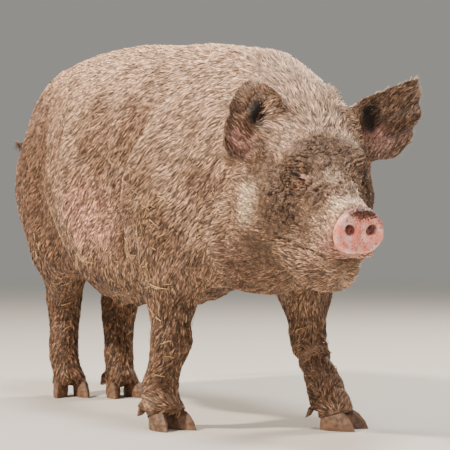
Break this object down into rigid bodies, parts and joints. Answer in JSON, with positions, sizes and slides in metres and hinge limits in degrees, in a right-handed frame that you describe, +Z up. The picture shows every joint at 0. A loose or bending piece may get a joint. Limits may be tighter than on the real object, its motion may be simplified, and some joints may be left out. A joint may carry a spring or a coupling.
{
  "type": "domestic pig",
  "caption": "Standing domestic pig with short tan-brown hair, spread ears and a round rooting disc, as a life-size still model.",
  "frame": {"origin": "middle of the outer box on the floor, between the feet", "axes": "+X towards the head, +Y to the animal's left, +Z up"},
  "size_m": [1.832, 0.55, 0.9326],
  "materials": {
    "hide": "matt, short hair",
    "snout_skin": "moist satin",
    "eyeball": "glossy",
    "horn": "satin"
  },
  "bodies": {
    "root": {"head": "hide", "lower_jaw": "hide", "ear_left": "hide", "ear_right": "hide", "neck": "hide", "trunk": "hide", "tail": "hide", "foreleg_left": "hide", "foreleg_right": "hide", "hindleg_left": "hide", "hindleg_right": "hide", "snout": "snout_skin", "eye_left": "eyeball", "eye_right": "eyeball", "hoof_outer_foreleg_left": "horn", "hoof_inner_foreleg_left": "horn", "dewclaw_outer_foreleg_left": "horn", "dewclaw_inner_foreleg_left": "horn", "hoof_outer_foreleg_right": "horn", "hoof_inner_foreleg_right": "horn", "dewclaw_outer_foreleg_right": "horn", "dewclaw_inner_foreleg_right": "horn", "hoof_outer_hindleg_left": "horn", "hoof_inner_hindleg_left": "horn", "dewclaw_outer_hindleg_left": "horn", "dewclaw_inner_hindleg_left": "horn", "hoof_outer_hindleg_right": "horn", "hoof_inner_hindleg_right": "horn", "dewclaw_outer_hindleg_right": "horn", "dewclaw_inner_hindleg_right": "horn"}
  },
  "joints": []
}
